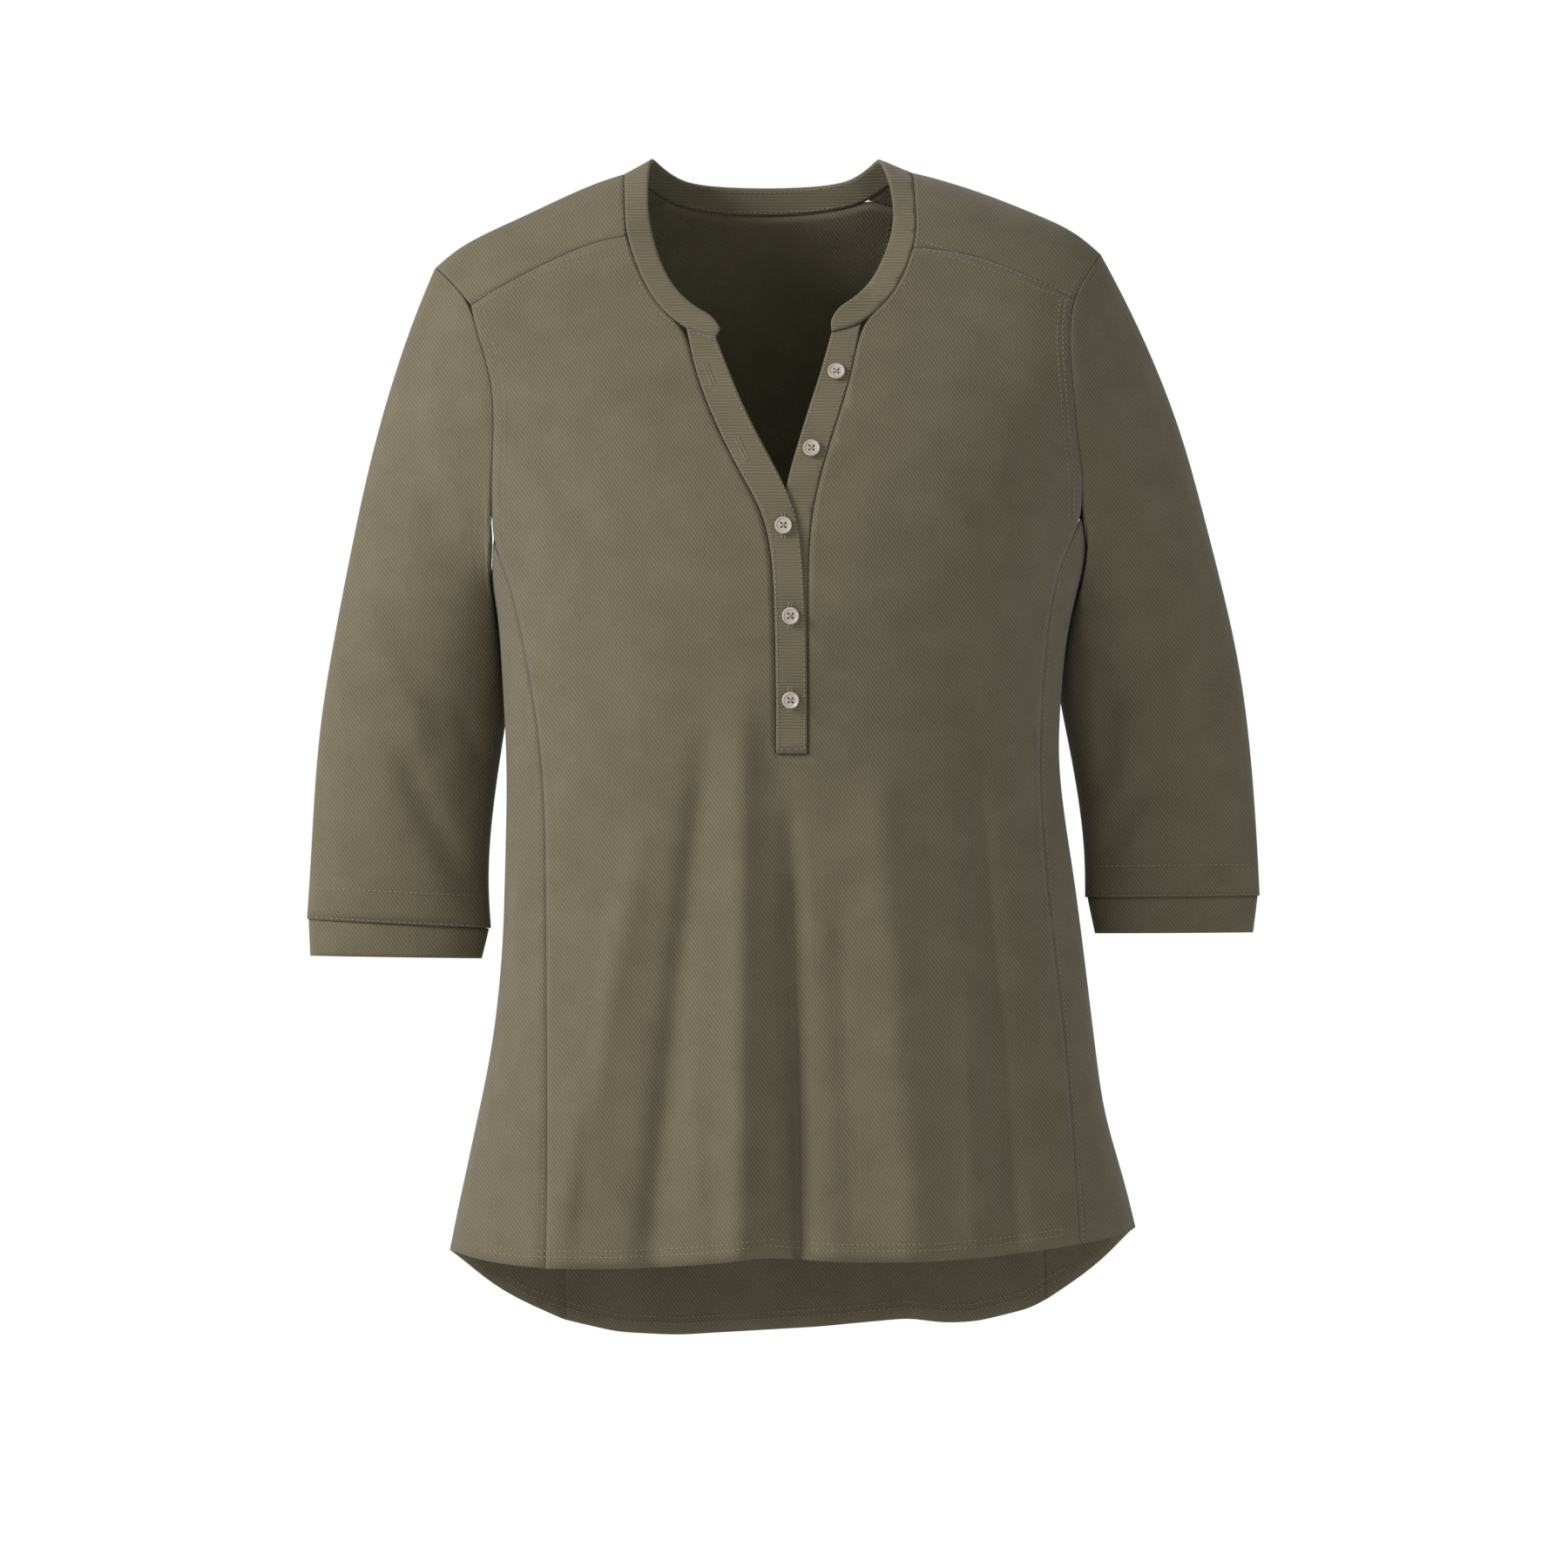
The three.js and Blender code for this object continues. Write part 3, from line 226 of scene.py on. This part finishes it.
def smooth_wall(node_name, material):
    """A rounded copy of a wall in the frame, as an object of its own."""
    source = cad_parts[node_name]
    wall = bmesh.new()
    wall.from_mesh(source.data)
    bmesh.ops.remove_doubles(wall, verts=wall.verts, dist=MERGE_DISTANCE)
    bmesh.ops.join_triangles(
        wall, faces=wall.faces, angle_face_threshold=FLAT_PAIR, angle_shape_threshold=SQUARE_PAIR
    )
    rim_mark = wall.edges.layers.float.get("crease_edge") or wall.edges.layers.float.new("crease_edge")
    for line in wall.edges:
        if line.calc_face_angle(0) > RIM_ANGLE:
            line[rim_mark] = 1.0
    mesh = bpy.data.meshes.new(node_name + "_cloth")
    wall.to_mesh(mesh)
    wall.free()
    cloth = bpy.data.objects.new(node_name + "_cloth", mesh)
    scene.collection.objects.link(cloth)
    rounding = cloth.modifiers.new("rounding", "SUBSURF")
    rounding.levels = rounding.render_levels = ROUNDING_LEVELS
    settled = bpy.data.meshes.new_from_object(cloth.evaluated_get(bpy.context.evaluated_depsgraph_get()))
    cloth.modifiers.clear()
    cloth.data = settled
    settled.materials.clear()
    settled.materials.append(material)
    settled.polygons.foreach_set("use_smooth", [True] * len(settled.polygons))
    return cloth


def add_creases(cloth, middle=0.0, half_depth=40.0):
    """Moves a piece by its creases. The move fades out where the surface turns to the side."""
    count = len(cloth.data.vertices)
    places = np.empty(count * 3)
    cloth.data.vertices.foreach_get("co", places)
    places = places.reshape(-1, 3) / MM
    x, y, z = places.T
    facing = np.clip((y - middle) / half_depth, -1, 1)
    for side in (-1, 1):
        share = np.clip(side * facing, 0, 1)
        places[:, 1] += side * crease_height(x, z, side) * share
    cloth.data.vertices.foreach_set("co", (places * MM).ravel())
    cloth.data.update()


print("ready to round the walls")

# %% [markdown]
# ## Body, sleeves and cuffs
# All panels share one crease table, so a crease runs on over a seam without a step. The sleeves hang behind
# the middle of the body, and their front and back are told apart at their own middle.

# %% Cloth pieces
BODY_PANELS = ["front", "back", "yoke_left", "yoke_right", "side_left", "side_right"]
SLEEVE_PIECES = ["sleeve_left", "sleeve_right", "cuff_left", "cuff_right"]
STRIP_PIECES = ["collar_band", "placket_top", "placket_under"]
cloths = {}
for name in BODY_PANELS + SLEEVE_PIECES:
    cloths[name] = smooth_wall(name, body_knit)
for name in STRIP_PIECES:
    cloths[name] = smooth_wall(name, strip_knit)
for name in BODY_PANELS + STRIP_PIECES:
    add_creases(cloths[name])
for name in SLEEVE_PIECES:
    add_creases(cloths[name], middle=30.0, half_depth=25.0)

CUFF_TUCK = 1.1


def tuck_under(cuff):
    """Draws the upper half of a cuff up into the end of its sleeve, so that no light shows at the seam."""
    heights = [vertex.co.z for vertex in cuff.data.vertices]
    low, high = min(heights), max(heights)
    for vertex in cuff.data.vertices:
        share = max((vertex.co.z - low) / (high - low) * 2 - 1, 0)
        vertex.co.z += share * CUFF_TUCK * MM


tuck_under(cloths["cuff_left"])
tuck_under(cloths["cuff_right"])
print("rounded", len(cloths), "pieces")

# %% [markdown]
# ## Where the sewing runs
# A row of stitches follows a seam at a small distance. Each row is a line of places seen from the front or
# from behind, laid onto the cloth along the line of sight, so every stitch rests on the surface.

# %% Stitch rows
PITCH = 3.0 * MM
LEFT_YOKE = [(-86, -38), (-130, -49.5), (-175, -71)]
RIGHT_YOKE = [(89, -35), (132, -49), (180, -67)]
LEFT_ARMHOLE = [(-176.5, -72), (-172, -91), (-166, -108), (-163, -126), (-162.4, -146), (-163.6, -179),
                (-163, -212)]
RIGHT_ARMHOLE = [(181, -68), (179, -84), (179, -100), (181, -126), (182.5, -149), (185.8, -172),
                 (185.5, -198)]
LEFT_PRINCESS = [(-162, -214), (-156, -224.5), (-149.5, -250), (-143, -281), (-135, -332), (-132, -381),
                 (-131.4, -438), (-131, -501), (-130.5, -575), (-131.3, -638)]
RIGHT_PRINCESS = [(184, -201), (177.5, -215), (171, -229.5), (166, -256), (162, -305), (160.8, -350),
                  (163, -394), (168.5, -448), (174.7, -501), (180, -560), (184.5, -627)]
TOP_SEAM = [(-48, -88), (-43, -113), (-36, -132), (-25.6, -155), (-15, -175.5), (-3, -196), (1, -212),
            (2.8, -232), (3.8, -262), (4.5, -300), (4.5, -336)]
TOP_FREE = [(-31, -93), (-25.6, -105), (-18.7, -124), (-8.4, -146), (2, -165), (10.6, -181), (16.6, -196),
            (19.4, -212), (21, -232), (22.3, -262), (23, -300), (23, -336)]
UNDER_SEAM = [(54.6, -85), (48.5, -117), (38, -150), (30.5, -175.5)]
UNDER_FREE = [(37.2, -90), (34, -103), (26, -127), (17.5, -155)]
BAND_SEAM_LEFT = [(-33, -91), (-48.4, -86.5), (-57.5, -81), (-65.8, -73.5), (-73, -62), (-80, -46),
                  (-84.2, -31), (-85.3, -11)]
BAND_SEAM_RIGHT = [(40, -88), (55, -83), (66.5, -75), (75, -64), (81.5, -52), (86, -38), (88, -24),
                   (86.6, -6)]
BAND_TOP_LEFT = [(-33.5, -78.5), (-41.5, -75), (-50, -69), (-57, -61), (-62.5, -51), (-67.2, -38),
                 (-70, -25)]
BAND_TOP_RIGHT = [(37, -81), (42, -73.5), (49, -69.5), (57.5, -63), (64, -54), (69, -43), (73, -31),
                  (74, -18)]
BAND_BACK = [(-47, -11), (-27, -14), (0, -14.6), (27, -13.2), (47, -10)]
FRONT_HEM = [(-176, -639), (-148, -642.6), (-92, -642.6), (-64, -641.7), (-30, -639), (0, -635), (19, -637),
             (46, -638.6), (102, -638), (139, -635), (176, -630)]
BACK_HEM = [(-163, -661), (-148, -670), (-120, -680), (-92, -686.5), (-55, -689), (-18, -687), (28, -684),
            (84, -679), (106, -681.5), (124, -680.7), (158, -672), (185, -656)]
LEFT_CUFF = [(-272, -438), (-172, -443)]
RIGHT_CUFF = [(288, -424), (195, -425)]
STITCH_ROWS = [
    dict(line=LEFT_YOKE, shifts=(-1.9, 1.9)),
    dict(line=RIGHT_YOKE, shifts=(-1.9, 1.9)),
    dict(line=LEFT_ARMHOLE, shifts=(4.2, 7.4)),
    dict(line=RIGHT_ARMHOLE, shifts=(-4.2, -7.4)),
    dict(line=LEFT_PRINCESS, shifts=(-2.5,)),
    dict(line=RIGHT_PRINCESS, shifts=(2.5,)),
    dict(line=TOP_SEAM, shifts=(1.4,)),
    dict(line=TOP_FREE, shifts=(-1.4,)),
    dict(line=UNDER_SEAM, shifts=(-1.4,)),
    dict(line=UNDER_FREE, shifts=(1.4,)),
    dict(line=[(6, -335.5), (22, -335.5)], shifts=(0,)),
    dict(line=BAND_SEAM_LEFT, shifts=(1.5,)),
    dict(line=BAND_SEAM_RIGHT, shifts=(-1.5,)),
    dict(line=BAND_TOP_LEFT, shifts=(-1.5,)),
    dict(line=BAND_TOP_RIGHT, shifts=(1.5,)),
    dict(line=BAND_BACK, shifts=(1.6, 13.6)),
    dict(line=FRONT_HEM, shifts=(7, 10.7)),
    dict(line=BACK_HEM, shifts=(7, 10.7)),
    dict(line=BACK_HEM, shifts=(7, 10.7), behind=True),
    dict(line=LEFT_CUFF, shifts=(2.2, 20)),
    dict(line=RIGHT_CUFF, shifts=(-2.2, -20)),
    dict(line=LEFT_CUFF, shifts=(2.2,), behind=True),
    dict(line=RIGHT_CUFF, shifts=(-2.2,), behind=True),
]
print(len(STITCH_ROWS), "lines to sew")

# %% [markdown]
# ## Laying the stitches down
# A flat drawing of a seam isn't enough, because the cloth is round. We divide each line evenly and shoot a
# ray at the cloth from every division. Two neighbouring hits give one stitch: its middle, its direction and
# the way out of the cloth. Where the cloth is seen nearly edge on, the hits are too far apart to trust.

# %% Places of the stitches
SIGHT_START = 0.5
SHORTEST_STEP = 0.5 * MM
LONGEST_STEP = 3 * PITCH
EDGE_ON = 0.12


def joined_surface(objects):
    """One surface to shoot rays at, made of several pieces."""
    points, faces = [], []
    for piece in objects:
        start = len(points)
        points += [vertex.co.copy() for vertex in piece.data.vertices]
        faces += [[start + number for number in face.vertices] for face in piece.data.polygons]
    return BVHTree.FromPolygons(points, faces)


cloth_surface = joined_surface(cloths.values())


def evenly(line, shift, pitch):
    """Places at an even pitch along a line, moved to its left by shift millimetres."""
    rough = np.array(line, dtype=float)
    lengths = np.hypot(*np.diff(rough, axis=0).T)
    along = np.concatenate([[0], np.cumsum(lengths)])
    fine = np.linspace(0, along[-1], max(int(along[-1] * MM / pitch), 2))
    x, z = np.interp(fine, along, rough[:, 0]), np.interp(fine, along, rough[:, 1])
    run_x, run_z = np.gradient(x), np.gradient(z)
    size = np.hypot(run_x, run_z)
    return x - shift * run_z / size, z + shift * run_x / size


def lay_on_cloth(x, z, behind=False):
    """Point and direction on the cloth that the line of sight meets first."""
    sight = -1 if behind else 1
    eye = Vector((x * MM, -sight * SIGHT_START, z * MM))
    hit, out, _, _ = cloth_surface.ray_cast(eye, Vector((0, sight, 0)))
    if hit is None:
        return None
    return hit, out if out.y * sight < 0 else -out


def row_of_stitches(x, z, behind, out_of_cloth=0.12):
    """Place and turn of each stitch in a row, raised out of the cloth by some millimetres."""
    laid = [lay_on_cloth(*place, behind) for place in zip(x, z)]
    stitches = []
    for here, there in zip(laid, laid[1:]):
        if here is None or there is None:
            continue
        run = there[0] - here[0]
        if not SHORTEST_STEP < run.length < LONGEST_STEP or abs(here[1].y) < EDGE_ON:
            continue
        out = (here[1] + there[1]).normalized()
        across = out.cross(run).normalized()
        turn = Matrix((run.normalized(), across, run.normalized().cross(across))).transposed()
        stitches.append(((here[0] + there[0]) / 2 + out * out_of_cloth * MM, turn.to_euler()))
    return stitches


stitches = []
for row in STITCH_ROWS:
    for shift in row["shifts"]:
        x, z = evenly(row["line"], shift, PITCH)
        stitches += row_of_stitches(x, z, row.get("behind", False))
print(len(stitches), "stitches")

# %% [markdown]
# ## One stitch, many times
# A stitch is a short fat thread. Geometry Nodes set one small rounded thread on every place, turned along
# its seam. The places and turns are stored on the points of a mesh, and the tree only reads them.

# %% Thread and stitch tree
def two_tone(name, roughness, scale, dark, light):
    """A material that drifts between two tones, by the place on the piece."""
    material = bpy.data.materials.new(name)
    material.use_nodes = True
    nodes, links = material.node_tree.nodes, material.node_tree.links
    shader = nodes["Principled BSDF"]
    shader.inputs["Roughness"].default_value = roughness
    place = nodes.new("ShaderNodeTexCoord")
    cloud = nodes.new("ShaderNodeTexNoise")
    cloud.inputs["Scale"].default_value = scale
    tones = nodes.new("ShaderNodeValToRGB")
    tones.color_ramp.elements[0].color = (*dark, 1)
    tones.color_ramp.elements[1].color = (*light, 1)
    links.new(place.outputs["Object"], cloud.inputs["Vector"])
    links.new(cloud.outputs["Fac"], tones.inputs["Fac"])
    links.new(tones.outputs["Color"], shader.inputs["Base Color"])
    return material


thread = two_tone("olive thread", 0.7, 900, (0.15, 0.132, 0.088), (0.26, 0.232, 0.16))


def stitch_tree(material):
    """A tree that sets one thread on every point, with sockets for its length and width."""
    tree = bpy.data.node_groups.new("stitches", "GeometryNodeTree")
    tree.interface.new_socket("Points", in_out="INPUT", socket_type="NodeSocketGeometry")
    length = tree.interface.new_socket("Length", in_out="INPUT", socket_type="NodeSocketFloat")
    width = tree.interface.new_socket("Width", in_out="INPUT", socket_type="NodeSocketFloat")
    tree.interface.new_socket("Stitches", in_out="OUTPUT", socket_type="NodeSocketGeometry")
    nodes, links = tree.nodes, tree.links
    given, made = nodes.new("NodeGroupInput"), nodes.new("NodeGroupOutput")
    strand = nodes.new("GeometryNodeMeshUVSphere")
    strand.inputs["Segments"].default_value = 6
    strand.inputs["Rings"].default_value = 4
    strand.inputs["Radius"].default_value = 0.5
    size = nodes.new("ShaderNodeCombineXYZ")
    links.new(given.outputs["Length"], size.inputs["X"])
    links.new(given.outputs["Width"], size.inputs["Y"])
    links.new(given.outputs["Width"], size.inputs["Z"])
    shape = nodes.new("GeometryNodeTransform")
    links.new(strand.outputs["Mesh"], shape.inputs["Geometry"])
    links.new(size.outputs["Vector"], shape.inputs["Scale"])
    turn = nodes.new("GeometryNodeInputNamedAttribute")
    turn.data_type = "FLOAT_VECTOR"
    turn.inputs["Name"].default_value = "turn"
    turned = nodes.new("FunctionNodeEulerToRotation")
    links.new(turn.outputs["Attribute"], turned.inputs["Euler"])
    spread = nodes.new("GeometryNodeInstanceOnPoints")
    links.new(given.outputs["Points"], spread.inputs["Points"])
    links.new(shape.outputs["Geometry"], spread.inputs["Instance"])
    links.new(turned.outputs["Rotation"], spread.inputs["Rotation"])
    real = nodes.new("GeometryNodeRealizeInstances")
    links.new(spread.outputs["Instances"], real.inputs["Geometry"])
    coloured = nodes.new("GeometryNodeSetMaterial")
    coloured.inputs["Material"].default_value = material
    links.new(real.outputs["Geometry"], coloured.inputs["Geometry"])
    links.new(coloured.outputs["Geometry"], made.inputs["Stitches"])
    return tree, length.identifier, width.identifier


def sew(name, stitches, material, length, width):
    """Turns places and turns into one plain mesh of threads."""
    points = bpy.data.meshes.new(name)
    points.from_pydata([place for place, _ in stitches], [], [])
    turns = points.attributes.new("turn", "FLOAT_VECTOR", "POINT")
    turns.data.foreach_set("vector", [angle for _, turn in stitches for angle in turn])
    sewing = bpy.data.objects.new(name, points)
    scene.collection.objects.link(sewing)
    tree, length_socket, width_socket = stitch_tree(material)
    spreading = sewing.modifiers.new("stitches", "NODES")
    spreading.node_group = tree
    spreading[length_socket] = length
    spreading[width_socket] = width
    plain = bpy.data.meshes.new_from_object(sewing.evaluated_get(bpy.context.evaluated_depsgraph_get()))
    sewing.modifiers.clear()
    sewing.data = plain
    print(name, len(plain.polygons), "faces")
    return sewing


seam_stitches = sew("seam_stitches", stitches, thread, 2.3 * MM, 0.5 * MM)

# %% [markdown]
# ## Buttonholes
# A real buttonhole is a slit with close stitches over both lips and a bar at each end. Here only the stitches
# of the two lips are made, and the slit between them is left as cloth. Two holes lie on the open part of the
# top strip, and three show above and below their buttons.

# %% Buttonhole stitches
STITCHES_A_LIP = 26
LIP_INNER, LIP_OUTER = 0.35, 1.5
HOLES = [
    dict(start=(-37.6, -107.2), end=(-32.4, -120)),
    dict(start=(-18.6, -152.3), end=(-12.2, -165)),
    dict(start=(9, -196.5), end=(9.2, -211)),
    dict(start=(13.2, -249), end=(13.2, -264)),
    dict(start=(13.2, -298.5), end=(13.2, -313.5)),
]
hole_stitches = []
for hole in HOLES:
    start, end = np.array(hole["start"]), np.array(hole["end"])
    run = (end - start) / np.hypot(*(end - start))
    left = np.array([-run[1], run[0]])
    for share in np.linspace(0, 1, STITCHES_A_LIP):
        middle = start + share * (end - start)
        for side in (-1, 1):
            inner, outer = middle + side * LIP_INNER * left, middle + side * LIP_OUTER * left
            hole_stitches += row_of_stitches(*np.array([inner, outer]).T, False, 0.15)
buttonholes = sew("buttonhole_stitches", hole_stitches, thread, 1.5 * MM, 0.6 * MM)

# %% [markdown]
# ## Buttons
# The buttons are cast resin in a greyish tan, with a raised rim and a slight cloud in the colour. Their
# shape comes from the frame, so only the finish and the thread in the four holes are added.

# %% Button finish and thread crosses
resin = two_tone("grey tan resin", 0.32, 160, (0.3, 0.262, 0.215), (0.5, 0.445, 0.375))
resin.node_tree.nodes["Principled BSDF"].inputs["Coat Weight"].default_value = 0.25

BUTTON_NODES = ["button_1", "button_2", "button_3", "button_4", "button_5"]
HOLE_SPREAD = 1.25
THREAD_RISE = 0.2 * MM
CROSS_LENGTH = 2 * math.sqrt(2) * HOLE_SPREAD * MM
button_surface = joined_surface([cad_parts[name] for name in BUTTON_NODES])
cross_threads = []
for name in BUTTON_NODES:
    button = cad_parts[name]
    button.data.materials.clear()
    button.data.materials.append(resin)
    low, high = (Vector(corner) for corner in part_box(name))
    middle = (low + high) / 2
    eye = Vector((middle.x, -SIGHT_START, middle.z))
    hit, out, _, _ = button_surface.ray_cast(eye, Vector((0, 1, 0)))
    for slant in (45, 135):
        run = Vector((math.cos(math.radians(slant)), 0, math.sin(math.radians(slant))))
        run = (run - out * run.dot(out)).normalized()
        turn = Matrix((run, out.cross(run), run.cross(out.cross(run)))).transposed()
        cross_threads.append((hit + out * THREAD_RISE, turn.to_euler()))
button_threads = sew("button_threads", cross_threads, thread, CROSS_LENGTH, 0.7 * MM)

# %% [markdown]
# ## Riding on the body
# Every piece rides on the one body of the frame, and each cloth stands for its wall.

# %% Pieces ride on the body
for name, cloth in cloths.items():
    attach(cloth, "root")
    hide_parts(name)
for sewing in (seam_stitches, buttonholes, button_threads):
    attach(sewing, "root")

# %% [markdown]
# ## Studio
# A pale floor lies below the shirt. A large soft light stands high on the left, a weaker one fills
# from the right, and the world gives an even pale light, so the folds stay soft. The world looks brighter to
# the camera than it is to the cloth, which keeps the backdrop white.

# %% Lights and backdrop
def stage_plane(name, corners, material):
    """A flat piece of the studio, which isn't part of the shirt."""
    mesh = bpy.data.meshes.new(name)
    mesh.from_pydata(corners, [], [(0, 1, 2, 3)])
    mesh.materials.append(material)
    plane = bpy.data.objects.new(name, mesh)
    scene.collection.objects.link(plane)


pale = bpy.data.materials.new("pale studio")
pale.use_nodes = True
pale.node_tree.nodes["Principled BSDF"].inputs["Base Color"].default_value = (0.9, 0.9, 0.9, 1)
pale.node_tree.nodes["Principled BSDF"].inputs["Roughness"].default_value = 1.0
FLOOR = -0.9
FLOOR_END = 0.6
stage_plane("floor", [(-4, -12, FLOOR), (4, -12, FLOOR), (4, FLOOR_END, FLOOR), (-4, FLOOR_END, FLOOR)], pale)


def soft_light(name, place, size, power):
    """A square lamp that faces the middle of the view."""
    data = bpy.data.lights.new(name, "AREA")
    data.size = size
    data.energy = power
    lamp = bpy.data.objects.new(name, data)
    lamp.location = place
    lamp.rotation_euler = (VIEW_MIDDLE - Vector(place)).to_track_quat("-Z", "Y").to_euler()
    scene.collection.objects.link(lamp)


soft_light("key light", (-3.0, -1.5, 1.5), 1.2, 150)
soft_light("fill light", (1.6, -3.2, 0.2), 2.0, 14)
WORLD_ON_CLOTH = 0.5
WORLD_SEEN_EXTRA = 0.5
world = bpy.data.worlds.new("studio")
world.use_nodes = True
nodes, links = world.node_tree.nodes, world.node_tree.links
nodes["Background"].inputs["Color"].default_value = (1, 1, 1, 1)
light_path = nodes.new("ShaderNodeLightPath")
brightness = nodes.new("ShaderNodeMath")
brightness.operation = "MULTIPLY_ADD"
brightness.inputs[1].default_value = WORLD_SEEN_EXTRA
brightness.inputs[2].default_value = WORLD_ON_CLOTH
links.new(light_path.outputs["Is Camera Ray"], brightness.inputs[0])
links.new(brightness.outputs["Value"], nodes["Background"].inputs["Strength"])
scene.world = world
scene.view_settings.view_transform = "Standard"
print("studio is lit")
